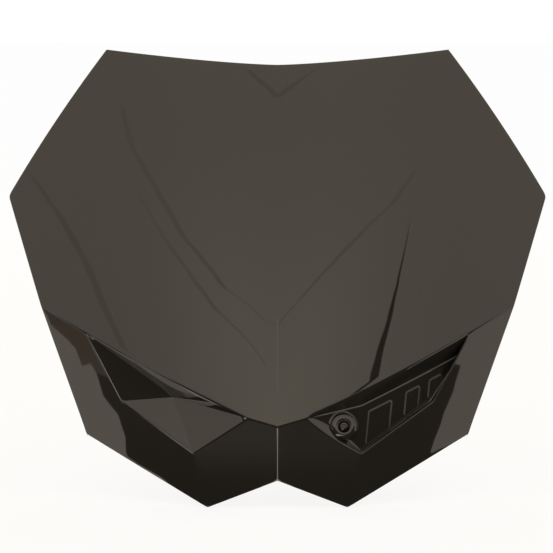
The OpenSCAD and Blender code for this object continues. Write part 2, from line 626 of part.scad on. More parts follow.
// Button head with a hexagon socket, and a plain shank in place of the thread
module pocket_screw() {
    chamfer = screw_d / 8;
    color("#6d6a64") in_frame() on_boss_axis(seat_deep) difference() {
        rotate_extrude() union() {
            intersection() {
                translate([0, dome_r - head_h]) circle(dome_r, $fn = 96);
                translate([0, -head_h]) square([head_d / 2, head_h]);
            }
            square([screw_d / 2, screw_len - chamfer]);
            polygon([[0, screw_len - chamfer], [screw_d / 2, screw_len - chamfer],
                [screw_d / 2 - chamfer, screw_len], [0, screw_len]]);
        }
        translate([0, 0, -head_h - 1]) cylinder(r = socket_af / sqrt(3), h = socket_deep + 1, $fn = 6);
    }
}

// Brass insert with two grooves between its knurled bands
module boss_insert() {
    groove = insert_len / 8;
    color("#b08a3e") in_frame() on_boss_axis(boss_len - insert_len) difference() {
        cylinder(d = insert_d, h = insert_len);
        translate([0, 0, -1]) cylinder(d = screw_d + 2 * thread_gap, h = insert_len + 2);
        for (k = groove_at) translate([0, 0, insert_len * k - groove / 2]) difference() {
            cylinder(d = insert_d + 1, h = groove);
            translate([0, 0, -1]) cylinder(d = insert_d - groove, h = groove + 2);
        }
    }
}

// The origin is midway between the two pillars, on their rear faces
module in_frame() {
    translate([0, -pillar_y, -pillar_z]) children();
}

cowl_shell();
pocket_screw();
boss_insert();
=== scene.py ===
"""A glossy headlight cowl on a pale studio floor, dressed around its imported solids."""
import math

import bmesh
import bpy
import numpy as np
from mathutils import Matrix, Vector


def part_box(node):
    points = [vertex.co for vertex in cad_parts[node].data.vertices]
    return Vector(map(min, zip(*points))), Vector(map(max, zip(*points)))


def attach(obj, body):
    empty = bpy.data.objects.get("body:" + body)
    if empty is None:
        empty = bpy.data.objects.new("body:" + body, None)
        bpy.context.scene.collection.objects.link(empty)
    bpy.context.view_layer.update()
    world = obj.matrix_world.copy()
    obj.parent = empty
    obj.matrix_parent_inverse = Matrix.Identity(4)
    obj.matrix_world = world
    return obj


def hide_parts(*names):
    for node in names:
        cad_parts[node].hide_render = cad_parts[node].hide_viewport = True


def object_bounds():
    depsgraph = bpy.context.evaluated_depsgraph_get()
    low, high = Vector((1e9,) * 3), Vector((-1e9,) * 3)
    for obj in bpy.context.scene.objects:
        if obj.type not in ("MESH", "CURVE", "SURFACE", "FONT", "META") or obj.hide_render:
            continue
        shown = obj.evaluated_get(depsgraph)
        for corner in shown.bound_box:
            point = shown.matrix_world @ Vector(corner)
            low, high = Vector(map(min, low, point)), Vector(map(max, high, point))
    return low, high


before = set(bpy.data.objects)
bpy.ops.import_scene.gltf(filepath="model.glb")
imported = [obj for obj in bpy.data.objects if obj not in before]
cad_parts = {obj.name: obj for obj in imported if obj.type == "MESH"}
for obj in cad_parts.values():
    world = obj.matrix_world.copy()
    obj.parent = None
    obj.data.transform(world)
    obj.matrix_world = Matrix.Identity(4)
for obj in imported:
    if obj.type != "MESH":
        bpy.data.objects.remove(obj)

cad_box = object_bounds()
MM = 0.001

# Form of the cowl, in millimetres from the nose: x to the viewer's right, y back, z up
# Side corner and top edge, the bow of the side between them, and the rounds of the outline
side_x, side_z = 174.0, 138.4
top_z, corner_x, corner_rise, corner_curve = 223.0, 111.5, 9.7, 1.4
side_bow = 1.6
side_round, low_round = 5.0, 2.5
# Outer end and sag of the panel's lower edge
knee_x, knee_z = 151.0, 70.0
edge_sag = 1.8
# Lean and sweep of the panel in degrees, and the radius of its ridge at the nose and the top
nose_lean, top_lean = 15.0, 28.5
ridge_sweep, side_sweep = 5.7, 24.0
nose_ridge_r, top_ridge_r, ridge_growth = 1.2, 200.0, 1.5
wall = 2.6
# Lower edge of the skirts, from the side to the middle
heel_x, heel_z = 121.2, -10.5
foot_x = 47.7
tip_x, tip_z = 43.7, -51.5
notch_z = -33.6
skirt_lean = 1.7
# Corners of a pocket: two on the panel's lower edge, then two on the skirts
in_x, in_z = 18.5, 4.9
out_x = 121.0
low_x, low_z = 98.3, 12.3
toe_x, toe_z = 52.3, -17.8

# Pockets: the deepest point of the left one, then the plate, the walls and the pads of the right one
hollow = np.array([65.6, 25.0, 15.4])
plate_toe_d, plate_out_d, plate_in_d = 7.0, 11.0, 1.2
plate_in_run = 1.5
ceiling_in, ceiling_out = 9.4, 11.7
wall_fall = 6.0
inner_run, lip_run = 2.6, 1.4
end_wall = 3.0
pad_h, pad_bevel, pad_round = 1.0, 0.9, 1.6
pad_start, pad_lean, pad_end_lean = 54.5, 6.0, 27.5
pad_widths = (16.2, 10.1, 3.9)
pad_gaps = (8.3, 5.2)
pad_top_gap, pad_low_gap = 5.2, 2.0
pad_rounds = 8

# Screw boss, screw and insert
boss_x, boss_y, boss_z, boss_tilt = 41.5, 8.2, -0.6, 14.0
boss_d, boss_round, boss_fillet, boss_len = 16.5, 3.0, 1.6, 18.0
collar_share, foot_share = 0.6, 0.4
sleeve_d = 10.0
screw_d, screw_len, screw_clear = 4.0, 20.0, 0.25
thread_pitch, thread_depth, thread_flank = 0.7, 0.6134, 2.5
thread_start, thread_end, thread_play = 0.8, 1.2, 0.05
thread_rings, crest_cut = 8, 0.02
head_d, head_h, head_clear, head_sunk = 7.6, 2.2, 0.5, 0.3
head_edge, head_steps = 0.15, 8
socket_af, socket_deep = 2.5, 1.3
insert_d, insert_len, insert_edge = 5.6, 6.0, 0.3
knurl_teeth, knurl_deep = 28, 0.16
groove_share, groove_places = 1 / 8, (0.3, 0.7)

# Fixings on the back
pillar_gap, pillar_z, pillar_y, pillar_d = 90.0, 150.0, 92.0, 11.0
pilot_d, pilot_deep = 4.2, 16.0
peg_gap, peg_z, peg_d, peg_root_d = 56.0, -25.0, 8.0, 10.0
peg_len, peg_free, peg_taper = 24.0, 17.0, 2.0
pillar_fillet, peg_fillet = 2.0, 1.2
rib_t, web_up, web_down, web_short = 2.0, 20.0, 28.0, 6.0
peg_web, peg_short = 9.0, 1.0

# Finish of the edges, and the steps of arcs and round solids
crease_bevel, rim_bevel, nose_bevel, foot_fillet = 0.7, 0.5, 0.35, 1.0
bevel_steps = 2
lip_steps, collar_steps, fillet_steps, root_steps = 3, 10, 6, 5
boss_sides, sleeve_sides, post_sides, screw_sides, knurl_sides = 96, 64, 64, 72, 6
crease_angle, sharp_angle, rim_angle = math.radians(9.0), math.radians(30.0), math.radians(60.0)
lip_round, rib_edge, pad_edge = 0.4, 0.35, 0.25
rib_steps, web_sunk = 8, 0.2
rim_r, rim_steps, rim_sides = 0.6, 48, 12
rim_end, rim_ramp = 0.2, 4

# Grain of the materials: waves per metre and their detail
cloud_scale, cloud_detail = 9.0, 3.0
grain_scale, grain_detail = 260.0, 4.0
ripple_detail, plastic_ior = 1.0, 1.58
spot_detail, scratch_share, scratch_detail = 3.0, 3, 5.0
metal_bump, metal_bump_strength = 0.00002, 0.5

# Studio: lengths in metres, angles in degrees seen from the object
tent_low, tent_radius, tent_side = 18.0, 3.2, 0.92
tent_columns, tent_rows = 60, 12
flag_apex, flag_high, flag_glow = -0.027, 18.5, 0.05
# Rows of the flag as radius, angle to the left and angle to the right
flag_rows = [(0.05, 55.0, 84.0), (0.185, 57.0, 84.0), (0.2, 61.6, 75.0), (0.27, 61.3, 61.6),
             (0.33, 60.4, 61.4), (0.43, 60.4, 61.4), (0.52, 61.6, 61.6), (0.68, 61.6, 61.6),
             (0.74, 56.0, 56.0), (1.15, 55.0, 55.0)]
# Changes of a cloth's light as two measures and the gain at each: the tent's with height and to the
# sides in metres, the flag's with radius in metres and with the sine of the angle, towards one side or both
tent_fall, tent_spread = (0.96, 2.4, 1.3, 1.0), (0.48, 1.92, 1.0, 0.0)
flag_far, flag_left, flag_sides = (0.2, 0.55, 0.0, 0.21), (-0.1, 0.6, 1.0, 0.3), (0.4, 0.8, 1.0, 0.2)
# Light fans on the floor as middle angle, half angle, nearest and furthest radius, and strength
fans = {"nose streak": (0.0, 7.0, 0.05, 1.15, 3.2), "near patch": (-61.5, 5.5, 0.08, 0.16, 2.0)}
side_fans = {"left side": (-70.0, 14.0, 0.2, 0.95, 1.37), "right side": (70.0, 14.0, 0.2, 1.3, 1.22)}
fan_steps = 48
# Near edge of the brown patch on the floor at the left, as angle and radius
patch_edge = [(58.5, 0.58), (61.7, 0.64), (62.6, 0.767), (63.7, 0.816), (65.1, 0.869), (67.5, 0.94),
              (72.0, 1.05)]
patch_far = 2.4
# Heights of the cards over the floor, so that none lies in another
side_lift, flag_lift, patch_lift, fan_lift = 0.0005, 0.001, 0.0015, 0.002
flag_top = 0.01
# Lines on the tent as azimuth, elevation and half width
wedge_line = [(34.8, 38.6, 0.0), (32.1, 31.6, 0.25), (30.35, 27.0, 0.45), (27.5, 21.0, 0.8),
              (25.9, 17.5, 1.0)]
seams = [
    [(-42.0, 49.0, 0.5), (-38.4, 45.4, 0.9), (-26.0, 38.5, 1.0), (-17.0, 34.8, 0.9),
     (-5.6, 33.4, 0.5), (0.0, 33.1, 0.3)],
    [(0.0, 33.1, 0.3), (8.2, 35.2, 0.5), (16.8, 37.6, 0.9), (31.0, 41.1, 1.0), (36.9, 43.6, 0.5)],
    [(-22.5, 60.5, 0.4), (0.0, 56.1, 1.0), (17.0, 59.0, 0.4)],
    [(-56.3, 35.5, 0.4), (-50.4, 33.3, 0.8), (-45.3, 29.9, 0.8), (-41.2, 25.6, 0.7), (-36.5, 21.5, 0.6)],
    [(-36.0, 40.5, 0.4), (-28.5, 36.0, 0.7), (-20.0, 31.5, 0.8), (-12.0, 29.5, 0.5), (-7.0, 28.0, 0.3)],
]
seam_glow = (0.84, 0.84, 0.8, 0.74, 0.88)
seam_radius = 2.9
# Bright lines as their directions, radius and strength
bright_lines = {"ridge line": ([(0.0, 23.0, 0.4), (0.0, 34.0, 0.2)], 2.9, 1.7),
                "lip line": ([(-42.0, 0.5, 4.0), (-42.0, 9.0, 4.0)], 1.0, 3.2)}
tent_colour, fan_colour, line_colour = (1.12, 1.0, 0.82), (1.0, 0.9, 0.76), (1.0, 0.96, 0.9)
flag_colour, wedge_colour, patch_colour = (1.0, 0.93, 0.82), (0.06, 0.05, 0.035), (0.46, 0.36, 0.27)
floor_half, floor_grey, floor_white = 60.0, 0.9, 0.85

# The photograph's camera: size, focal length and shift in pixels, place and target in metres
picture, focal, sensor = 553.0, 2843.6, 36.0
shift_right, shift_up = -1.0, 1.5
camera_place, camera_target = (0, -1.84015, 0.09567), (0, -0.047, -0.06121)
camera_near, camera_far = 0.05, 200.0


def tand(a):
    return math.tan(math.radians(a))


def mix(a, b, t):
    return a + (b - a) * t


def span(a, b, n):
    """Points from a to b, both included, with n steps between them."""
    return np.linspace(a, b, n + 1)


def chain(*runs):
    """One line from several that share their ends."""
    return np.concatenate([runs[0]] + [run[1:] for run in runs[1:]])


def place(p):
    """A point in millimetres from the nose, in metres in the shared frame."""
    return (p[0] * MM, (p[1] - pillar_y) * MM, (p[2] - pillar_z) * MM)


# Surfaces: depth behind the nose at x, z
lean_gain = (tand(top_lean) - tand(nose_lean)) / (2 * top_z)
sweep_gain = (tand(side_sweep) - tand(ridge_sweep)) / (2 * side_x)
skirt_slope = tand(skirt_lean)


def panel_y(x, z):
    """The leaning front panel, sharp along its middle at the nose and rounder towards the top."""
    up = np.maximum(0, z) / top_z
    r = mix(nose_ridge_r, top_ridge_r, up**ridge_growth)
    lean = tand(nose_lean) * z + lean_gain * z * z
    return lean + tand(ridge_sweep) * (np.sqrt(x * x + r * r) - r) + sweep_gain * x * x


def edge_z(x):
    """Height of the panel's lower edge."""
    t = (x - in_x) / (knee_x - in_x)
    far = mix(in_z, knee_z, t) - 4 * edge_sag * t * (1 - t)
    return np.where(x <= in_x, in_z * x / in_x, far)


in_base = panel_y(in_x, in_z) - skirt_slope * in_z


def inner_y(x, z):
    """The inner part of a skirt, folded back from the panel's lower edge."""
    x = np.abs(x)
    near = panel_y(x, edge_z(x)) - skirt_slope * edge_z(x)
    return np.where(x <= in_x, near, in_base * x / in_x) + skirt_slope * z


foot_z = mix(tip_z, heel_z, (foot_x - tip_x) / (heel_x - tip_x))
crease_run = (toe_x - foot_x) / (toe_z - foot_z)
out_z = float(edge_z(out_x))


def turn(x, z):
    """Distance outside the skirt's crease."""
    return x - toe_x - (z - toe_z) * crease_run


out_turn, knee_turn = turn(out_x, out_z), turn(knee_x, knee_z)
out_rate = (panel_y(out_x, out_z) - inner_y(out_x, out_z)) / out_turn
knee_rate = (panel_y(knee_x, knee_z) - inner_y(knee_x, knee_z)) / knee_turn
turn_gain = (knee_rate - out_rate) / (knee_turn - out_turn)
turn_start = out_rate - turn_gain * out_turn


def turned_y(x, z):
    """The skirt outside its crease, before it meets the panel's edge."""
    d = turn(x, z)
    return inner_y(x, z) + turn_start * d + turn_gain * d * d


def outer_y(x, z):
    """The outer part of a skirt, which meets the panel along its edge."""
    e = np.clip(x, out_x, knee_x)
    return turned_y(x, z) + panel_y(e, edge_z(e)) - turned_y(e, edge_z(e))


def on(surface, xz):
    """Points of the front view laid on a surface."""
    xz = np.asarray(xz, float)
    x, z = xz[..., 0], xz[..., 1]
    return np.stack([x, surface(x, z), z], -1)


# Depth plane of the plate, through three points behind the pocket's corners
plate_at_out = np.array([out_x, panel_y(out_x, out_z) + plate_out_d, out_z])
plate_at_in = np.array([in_x, panel_y(in_x, in_z) + plate_in_d, in_z])
plate_at_toe = np.array([toe_x, inner_y(toe_x, toe_z) + plate_toe_d, toe_z])
plate_normal = np.cross(plate_at_toe - plate_at_in, plate_at_out - plate_at_in)
plate_normal /= -np.linalg.norm(plate_normal) * np.sign(plate_normal[1])


def plate_y(x, z):
    """The plate's plane."""
    across, up = x - plate_at_in[0], z - plate_at_in[2]
    return plate_at_in[1] - (plate_normal[0] * across + plate_normal[2] * up) / plate_normal[1]


# Outline of the right half in the front view
knee, side = np.array([knee_x, knee_z]), np.array([side_x, side_z])
corner = np.array([corner_x, top_z + corner_rise])
heel, tip, foot = np.array([heel_x, heel_z]), np.array([tip_x, tip_z]), np.array([foot_x, foot_z])
toe, low, notch = np.array([toe_x, toe_z]), np.array([low_x, low_z]), np.array([0, notch_z])
mid_foot = mix(foot, heel, (low_x - toe_x) / (out_x - toe_x))

# How many times each edge is divided, how its points crowd at the nose, and the plate's middle
n_nose, n_ceiling, n_outside, n_end, n_low, n_inner = 10, 30, 9, 14, 16, 12
n_rise, n_top, n_skirt, n_round, n_ring, n_wall = 18, 28, 18, 4, 8, 3
nose_crowding, plate_middle = 1.6, 0.4
# Points closer than this are one: digits of a millimetre, and metres
merge_digits, merge_gap = 3, 1e-7


def arc_at(a, b, c, r):
    """Arc of radius r that rounds the corner b of the line a, b, c."""
    d, e = (a - b) / np.linalg.norm(a - b), (c - b) / np.linalg.norm(c - b)
    half = math.acos(float(d @ e)) / 2
    centre = b + (d + e) / np.linalg.norm(d + e) * r / math.sin(half)
    start, end = b + d * r / math.tan(half) - centre, b + e * r / math.tan(half) - centre
    sweep = math.pi - 2 * half
    parts = [(math.sin(sweep * (1 - t)) * start + math.sin(sweep * t) * end) / math.sin(sweep)
             for t in span(0, 1, n_round)]
    return centre + np.array(parts)


def bowed(t):
    """Point of the bowed side between its corners."""
    out = np.array([corner[1] - side[1], side[0] - corner[0]])
    return mix(side, corner, t) + side_bow * 4 * t * (1 - t) * out / np.linalg.norm(out)


def band(x):
    """Height of the ceiling over the plate."""
    inner = ceiling_in * (x - in_x) / (toe_x - in_x)
    outer = mix(ceiling_in, ceiling_out, (x - toe_x) / (out_x - toe_x))
    return np.where(x < toe_x, inner, outer)


fall = tand(wall_fall)
plate_low = np.array([low_x - end_wall / 3, low_z - fall * (plate_y(low_x, low_z) - outer_y(low_x, low_z))])
plate_toe = np.array([toe_x, toe_z - fall * plate_toe_d])


def plate_top(x):
    """Upper edge of the plate in the front view."""
    return np.stack([x, edge_z(x) - band(x)], -1)


plate_start = plate_top(np.float64(in_x + plate_in_run))
plate_end = plate_top(np.float64(out_x - end_wall))


def bulged(a, b, n, run):
    """Line from a to b that bulges to its right by run."""
    t = span(0, 1, n)[:, None]
    d = (b - a) / np.linalg.norm(b - a)
    return mix(a, b, t) + 4 * run * t * (1 - t) * np.array([d[1], -d[0]])


def blend(bottom, top, left, right):
    """Grid of front view points between four edges."""
    u, v = span(0, 1, len(bottom) - 1)[None, :, None], span(0, 1, len(left) - 1)[:, None, None]
    low_high = mix(bottom[None], top[None], v) + mix(left[:, None], right[:, None], u)
    grid = low_high - mix(mix(bottom[0], bottom[-1], u), mix(top[0], top[-1], u), v)
    grid[0], grid[-1], grid[:, 0], grid[:, -1] = bottom, top, left, right
    return grid


def pocket(lips, plated):
    """Grids inside the four lips of a pocket: faces down to one point, or walls down to a plate."""
    if not plated:
        return [("hollow", np.array([mix(lip, hollow, t) for t in span(0, 1, n_ring)])) for lip in lips]
    feet = [
        on(plate_y, plate_top(span(plate_start[0], plate_end[0], n_ceiling))),
        on(plate_y, span(plate_end, plate_low, n_end)),
        on(plate_y, span(plate_low, plate_toe, n_low)),
        on(plate_y, bulged(plate_toe, plate_start, n_inner, inner_run)),
    ]
    middle = on(plate_y, mix(plate_toe, plate_end, plate_middle))
    grids = []
    for lip, foot_line in zip(lips, feet):
        grids.append(("wall", np.array([mix(lip, foot_line, t) for t in span(0, 1, n_wall)])))
        grids.append(("plate", np.array([mix(foot_line, middle, t) for t in span(0, 1, n_ring)])))
    return grids


def half(plated):
    """Front of one half as grids of points, each with the name of its form."""
    near = in_x * span(0, 1, n_nose) ** nose_crowding
    lower = chain(near, span(in_x, out_x, n_ceiling), span(out_x, knee_x, n_outside))
    panel_low = np.stack([lower, edge_z(lower)], -1)
    across = corner_x * lower / knee_x
    panel_top = np.stack([across, top_z + corner_rise * (across / corner_x) ** corner_curve], -1)
    turn_arc = arc_at(knee, side, bowed(0.5), side_round)
    rise = span(knee, turn_arc[0], n_rise)
    bow = np.array([bowed(t) for t in span(0, 1, n_top)])
    bow[0] = turn_arc[-1]
    panel_side = chain(rise, turn_arc, bow)
    mid = np.stack([np.zeros(len(panel_side)), span(0, top_z, len(panel_side) - 1)], -1)
    grids = [("panel", on(panel_y, blend(panel_low, panel_top, mid, panel_side)))]

    ceiling_edge = panel_low[n_nose:n_nose + n_ceiling + 1]
    outside_edge = panel_low[n_nose + n_ceiling:]
    end_edge = span(ceiling_edge[-1], low, n_end)
    low_edge = span(low, toe, n_low)
    inner_edge = bulged(toe, ceiling_edge[0], n_inner, -lip_run if plated else 0)
    tip_arc = arc_at(notch, tip, foot, low_round)
    crease = span(foot, toe, n_skirt)
    inner_top = chain(panel_low[:n_nose + 1], inner_edge[::-1])
    near_tip = span(notch, tip_arc[0], len(inner_top) - n_round - 2)
    inner_low = chain(near_tip, tip_arc, np.array([tip_arc[-1], foot]))
    inner_mid = np.stack([np.zeros(n_skirt + 1), span(notch_z, 0, n_skirt)], -1)
    split = span(mid_foot, low, n_skirt)
    heel_arc = arc_at(mid_foot, heel, knee, low_round)
    far_top = chain(end_edge[::-1], outside_edge)
    far_side = span(heel_arc[-1], knee, n_skirt)
    far_low = chain(span(mid_foot, heel_arc[0], len(far_top) - 1 - n_round), heel_arc)
    grids += [
        ("inner", on(inner_y, blend(inner_low, inner_top, inner_mid, crease))),
        ("outer", on(outer_y, blend(span(foot, mid_foot, n_low), low_edge[::-1], crease, split))),
        ("outer", on(outer_y, blend(far_low, far_top, split, far_side))),
    ]

    lips = [on(panel_y, ceiling_edge), on(outer_y, end_edge), on(outer_y, low_edge), on(inner_y, inner_edge)]
    lips[1][0], lips[3][-1] = lips[0][-1], lips[0][0]
    return grids + pocket(lips, plated)


class Sheet:
    """Mesh whose points merge where they share a place."""

    def __init__(self):
        self.points, self.index, self.faces = [], {}, []

    def point(self, p):
        """Number of the point at p, which is added if it is new."""
        key = tuple(round(float(c), merge_digits) for c in p)
        if key not in self.index:
            self.index[key] = len(self.points)
            self.points.append(np.array(p, float))
        return self.index[key]

    def grid(self, g, flip):
        """Adds the faces between a grid's points."""
        for j in range(len(g) - 1):
            for i in range(len(g[0]) - 1):
                ring = [self.point(g[j + dj][i + di]) for dj, di in ((0, 0), (0, 1), (1, 1), (1, 0))]
                face = list(dict.fromkeys(ring))
                if len(face) > 2:
                    self.faces.append(face[::-1] if flip else face)


def shell_front():
    """Front of both halves as one sheet, the plated pocket on the right."""
    sheet = Sheet()
    for plated in (True, False):
        for form, g in half(plated):
            sunk = form in ("hollow", "wall", "plate")
            if not plated:
                g = g * np.array([-1, 1, 1])
            sheet.grid(g, flip=(plated == sunk))
    return sheet


def wall_steps(points, faces):
    """Step from each front point through the wall to the back, where the faces beside it meet."""
    near = [[] for _ in points]
    for face in faces:
        a, b, c = points[face[0]], points[face[1]], points[face[2]]
        n = np.cross(b - a, c - a)
        if len(face) == 4:
            n = n + np.cross(c - a, points[face[3]] - a)
        for v in face:
            near[v].append(n)
    steps = []
    for normals in near:
        groups = []
        for n in normals:
            for group in groups:
                if n @ group > math.cos(crease_angle) * np.linalg.norm(n) * np.linalg.norm(group):
                    group += n
                    break
            else:
                groups.append(n.copy())
        total = sum(g / np.linalg.norm(g) for g in groups)
        steps.append(-wall * len(groups) * total / (total @ total))
    return steps


def mesh_object(name, points, faces):
    """Smooth mesh whose points are given in millimetres from the nose."""
    mesh = bpy.data.meshes.new(name)
    mesh.from_pydata([place(p) for p in points], [], faces)
    mesh.polygons.foreach_set("use_smooth", [True] * len(faces))
    mesh.update()
    obj = bpy.data.objects.new(name, mesh)
    bpy.context.scene.collection.objects.link(obj)
    return obj


def soften(obj):
    """Rounds the edges by their weights, in millimetres, and evens out the shading."""
    bevel = obj.modifiers.new("rounded edges", "BEVEL")
    bevel.limit_method, bevel.width, bevel.segments = "WEIGHT", MM, bevel_steps
    bevel.use_clamp_overlap, bevel.harden_normals = False, False
    obj.modifiers.new("even shading", "WEIGHTED_NORMAL").keep_sharp = True
    return obj


def cowl_skin():
    """The whole moulding without its fixings: front, back and the rim between them."""
    sheet = shell_front()
    count = len(sheet.points)
    points = sheet.points + [p + s for p, s in zip(sheet.points, wall_steps(sheet.points, sheet.faces))]
    used = {}
    for face in sheet.faces:
        for a, b in zip(face, face[1:] + face[:1]):
            used[(a, b)] = used.get((a, b), 0) + 1
    open_edges = [(a, b) for (a, b) in used if (b, a) not in used]
    faces = sheet.faces + [[v + count for v in face[::-1]] for face in sheet.faces]
    faces += [[b, a, a + count, b + count] for a, b in open_edges]
    obj = mesh_object("cowl_skin", points, faces)
    for back_face in obj.data.polygons[len(sheet.faces):2 * len(sheet.faces)]:
        back_face.material_index = 1
    rim = {v for edge in open_edges for v in edge}
    bm = bmesh.new()
    bm.from_mesh(obj.data)
    weight = bm.edges.layers.float.new("bevel_weight_edge")
    for edge in bm.edges:
        a, b = (v.index for v in edge.verts)
        angle = edge.calc_face_angle_signed(0)
        along_rim = a % count in rim and b % count in rim and abs(a - b) != count
        across = edge.verts[0].co.x + edge.verts[1].co.x
        if along_rim and abs(angle) > rim_angle:
            edge[weight] = rim_bevel
        elif abs(angle) > crease_angle:
            inward = 0.0 if across < 0 else foot_fillet
            edge[weight] = crease_bevel if angle > 0 else inward
            edge.smooth = edge[weight] > 0
            if abs(across) < MM:
                edge[weight] = nose_bevel
    bm.to_mesh(obj.data)
    bm.free()
    return soften(obj)


def axis_at(x, y, z, tilt=0.0):
    """Gives the point at a radius, an angle and a depth about an axis that runs back from x, y, z."""
    c, s = math.cos(math.radians(tilt)), math.sin(math.radians(tilt))

    def at(r, a, deep):
        up = r * math.sin(a)
        return np.array([x + r * math.cos(a), y + up * s + deep * c, z + up * c - deep * s])
    return at


def lathe(name, axis, profile, n):
    """Closed solid about an axis.

    Its profile of radii and depths is a closed loop, or runs from the axis back to the axis."""
    rings = [[axis(r, a, deep) for r, deep in profile(a)] for a in span(0, 2 * math.pi, n)[:-1]]
    count = len(rings[0])
    on_axis = profile(0)[0][0] == 0
    points = [p for ring in rings for p in ring]
    faces = []
    for k in range(n):
        for i in range(count - 1 if on_axis else count):
            j, m = (i + 1) % count, (k + 1) % n
            faces.append([k * count + i, m * count + i, m * count + j, k * count + j])
    obj = mesh_object(name, points, faces)
    bm = bmesh.new()
    bm.from_mesh(obj.data)
    bmesh.ops.remove_doubles(bm, verts=bm.verts, dist=merge_gap)
    bmesh.ops.dissolve_degenerate(bm, edges=bm.edges, dist=merge_gap)
    bmesh.ops.recalc_face_normals(bm, faces=bm.faces)
    for edge in bm.edges:
        edge.smooth = edge.calc_face_angle(0) < sharp_angle
    bm.to_mesh(obj.data)
    bm.free()
    return obj


def arc(centre, r_x, r_y, start, end, n):
    """Elliptic arc of a profile in n steps, angles in degrees."""
    angles = [math.radians(mix(start, end, t)) for t in span(0, 1, n)]
    return [(centre[0] + r_x * math.cos(a), centre[1] + r_y * math.sin(a)) for a in angles]


def block(name, first, last, edge):
    """Solid between two outlines with as many points each, its sharp edges rounded by edge."""
    n = len(first)
    faces = [list(range(n)), list(range(2 * n - 1, n - 1, -1))]
    faces += [[i, i + n, (i + 1) % n + n, (i + 1) % n] for i in range(n)]
    obj = mesh_object(name, np.concatenate([first, last]), faces)
    bm = bmesh.new()
    bm.from_mesh(obj.data)
    bmesh.ops.recalc_face_normals(bm, faces=bm.faces)
    weight = bm.edges.layers.float.new("bevel_weight_edge")
    for e in bm.edges:
        e[weight] = edge if e.calc_face_angle(0) > sharp_angle else 0
    bm.to_mesh(obj.data)
    bm.free()
    return soften(obj)


seat_deep = head_h + head_sunk
bore_r = screw_d / 2 + screw_clear
boss_axis = axis_at(boss_x, boss_y, boss_z, boss_tilt)


def plate_deep(r, a):
    """Depth of the plate along the boss's axis."""
    p, q = boss_axis(r, a, 0.0), boss_axis(r, a, 1.0)
    return plate_normal @ (plate_at_in - p) / (plate_normal @ (q - p))


def screw_boss():
    """Collar with a rounded edge that grows out of the plate, and the counterbore for the screw."""
    r, seat_r = boss_d / 2, head_d / 2 + head_clear

    def profile(a):
        foot_r = r + boss_fillet
        stand, foot = plate_deep(r, a), plate_deep(foot_r, a)
        round_d, foot_d = min(boss_round, collar_share * stand), min(boss_fillet, foot_share * stand)
        return ([(bore_r, plate_deep(bore_r, a) + wall / 2), (bore_r, seat_deep), (seat_r, seat_deep)]
                + arc((seat_r + lip_round, lip_round), lip_round, lip_round, 180, 270, lip_steps)
                + arc((r - boss_round, round_d), boss_round, round_d, -90, 0, collar_steps)
                + arc((foot_r, foot - foot_d), boss_fillet, foot_d, 180, 90, fillet_steps)
                + [(foot_r, foot + wall / 2)])
    return lathe("screw_boss", boss_axis, profile, boss_sides)


def boss_sleeve():
    """Sleeve behind the plate that takes the screw and the insert."""
    r, edge = sleeve_d / 2, lip_round
    step = boss_len - insert_len

    def profile(a):
        root = plate_deep(r, a) + wall
        return ([(bore_r, root - wall / 2), (bore_r, step), (insert_d / 2, step), (insert_d / 2, boss_len)]
                + arc((r - edge, boss_len - edge), edge, edge, 90, 0, lip_steps)
                + arc((r + boss_fillet, root + boss_fillet), boss_fillet, boss_fillet, 180, 270, root_steps)
                + [(r + boss_fillet, root - wall / 2)])
    return lathe("boss_sleeve", boss_axis, profile, sleeve_sides)


def inset(shape, d):
    """The four corners drawn in by d on every side."""
    result = []
    for i in range(4):
        e = shape[i] - shape[i - 1]
        f = shape[(i + 1) % 4] - shape[i]
        e, f = e / np.linalg.norm(e), f / np.linalg.norm(f)
        result.append(shape[i] + d * (f - e) / (e[0] * f[1] - e[1] * f[0]))
    return np.array(result)


def rounded(shape, r):
    """The shape with an arc of radius r at each corner."""
    return np.concatenate([arc_at(shape[i - 1], shape[i], shape[(i + 1) % 4], r) for i in range(4)])


def plate_pads():
    """Three raised pads: their lower edges follow the plate's, their upper edges the ceiling."""
    low_run = (plate_low[1] - plate_toe[1]) / (plate_low[0] - plate_toe[0])

    def low_line(x):
        return plate_toe[1] + low_run * (x - plate_toe[0]) + pad_low_gap

    def raised(x, run):
        z = low_line(x)
        for _ in range(pad_rounds):
            top = x + run * (z - low_line(x))
            z = float(edge_z(top) - band(top)) - pad_top_gap
        return [x + run * (z - low_line(x)), z]

    pads, x = [], pad_start
    for k, (width, gap) in enumerate(zip(pad_widths, (*pad_gaps, 0)), 1):
        last = k == len(pad_widths)
        lean, far_lean = tand(pad_lean), tand(pad_end_lean if last else pad_lean)
        shape = np.array([[x, low_line(x)], [x + width, low_line(x + width)],
                          raised(x + width, far_lean), raised(x, lean)])
        base = on(plate_y, rounded(inset(shape, -pad_bevel), pad_round + pad_bevel)) + [0, pad_h, 0]
        face = on(plate_y, rounded(inset(shape, pad_bevel), pad_round - pad_bevel)) - [0, pad_h, 0]
        pad = block(f"plate_pad_{k}", base, face, pad_edge)
        # The pad's sides take the second, lighter material, a painted highlight that draws its outline.
        for side_face in pad.data.polygons[2:]:
            side_face.material_index = 1
        pads.append(pad)
        x += width + gap
    return pads


